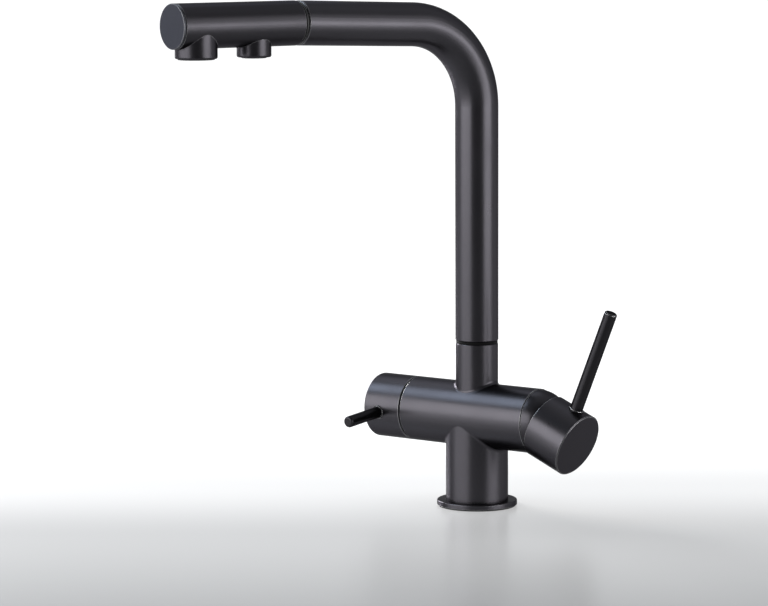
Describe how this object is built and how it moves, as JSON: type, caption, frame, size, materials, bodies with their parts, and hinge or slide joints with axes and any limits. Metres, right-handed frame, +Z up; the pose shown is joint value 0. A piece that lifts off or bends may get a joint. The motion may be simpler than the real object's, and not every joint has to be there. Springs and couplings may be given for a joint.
{
  "type": "pull-out kitchen faucet",
  "caption": "Tall L-shaped kitchen faucet with a pull-out head, a side mixing lever and a separate quarter-turn lever and outlet for filtered water.",
  "frame": {"origin": "on the deck, at the centre of the base flange", "axes": "+Z up, -Y towards the user, +X towards the mixing lever"},
  "size_m": [0.1995, 0.2723, 0.4393],
  "materials": {
    "black_coat": "satin black coating",
    "end_cap_coat": "satin dark grey coating",
    "brass": "turned brass",
    "steel": "plain steel",
    "rubber": "black rubber",
    "black_plastic": "moulded black",
    "white_plastic": "moulded white",
    "grey_plastic": "moulded grey",
    "ceramic": "lapped ceramic",
    "hose_braid": "braided nylon",
    "tube_plastic": "clear-white tube"
  },
  "bodies": {
    "base": {"main_body": "black_coat", "base_flange": "black_coat", "flange_gasket": "rubber", "base_insert": "brass", "port_shank": "brass", "fixing_stud": "steel", "clamp_pad": "rubber", "clamp_plate": "steel", "clamp_nut": "brass", "lower_bush": "white_plastic", "upper_bush": "white_plastic", "swivel_washer": "black_plastic", "spout_lock_screw": "steel", "cartridge_base": "white_plastic", "cartridge_seals": "rubber", "fixed_disc": "ceramic", "cartridge_housing": "white_plastic", "cartridge_nut": "brass", "bonnet_dome": "black_coat", "filter_valve_body": "brass", "filter_seat_seal": "rubber", "filter_fixed_disc": "ceramic"},
    "spout": {"spigot": "brass", "spigot_seals": "rubber", "spout_tube": "black_coat", "dock_bush": "black_plastic", "spray_hose": "hose_braid", "pure_tube": "tube_plastic", "hose_coupling": "brass"},
    "hose_end": {"swivel_nipple": "brass", "nipple_seal": "rubber", "hose_ferrule": "steel"},
    "spray_head": {"head_shell": "black_coat", "head_end_cap": "end_cap_coat", "head_core": "white_plastic", "dock_collar": "black_plastic", "main_aerator_washer": "rubber", "main_aerator_ring": "black_plastic", "main_aerator_core": "grey_plastic", "pure_aerator_washer": "rubber", "pure_aerator_ring": "black_plastic", "pure_aerator_core": "grey_plastic"},
    "mixer_rotor": {"stem_rotor": "white_plastic", "stem_pin": "steel"},
    "mixer_lever": {"mixer_stem": "steel", "mixer_hub": "black_coat", "hub_screw": "steel", "lever_rod": "black_coat"},
    "disc_slide": {"disc_carrier": "white_plastic", "moving_disc": "ceramic"},
    "filter_lever": {"filter_moving_disc": "ceramic", "filter_spindle": "brass", "spindle_seal": "rubber", "spindle_clip": "steel", "filter_cap": "black_coat", "filter_pin": "black_coat"}
  },
  "joints": [
    {"name": "spout_swivel", "type": "hinge", "parent": "base", "child": "spout", "pos_m": [0, 0, 0.1146], "axis": [0, 0, 1], "range_deg": [-104.5, 135.5]},
    {"name": "head_pull", "type": "slide", "parent": "spout", "child": "hose_end", "axis": [-0.2672, -0.9636, 0], "range_m": [0, 0.4], "deforming": ["spray_hose", "pure_tube"]},
    {"name": "head_turn", "type": "hinge", "parent": "hose_end", "child": "spray_head", "pos_m": [-0.0406, -0.14638, 0.3403], "axis": [-0.2672, -0.9636, 0], "continuous": true},
    {"name": "mixer_turn", "type": "hinge", "parent": "base", "child": "mixer_rotor", "pos_m": [0.0521, 0, 0.064], "axis": [1, 0, 0], "range_deg": [-45, 45]},
    {"name": "mixer_tilt", "type": "hinge", "parent": "mixer_rotor", "child": "mixer_lever", "pos_m": [0.0521, 0, 0.064], "axis": [0, 1, 0], "range_deg": [-22.6, 0]},
    {"name": "disc_travel", "type": "slide", "parent": "mixer_rotor", "child": "disc_slide", "axis": [0, 0, 1], "range_m": [-0.00404, 0.00001]},
    {"name": "filter_turn", "type": "hinge", "parent": "base", "child": "filter_lever", "pos_m": [-0.0705, 0, 0.064], "axis": [-1, 0, 0], "range_deg": [0, 90]}
  ],
  "couplings": [
    {"joint": "disc_travel", "follows": "mixer_tilt", "m_per_rad": 0.01023}
  ]
}
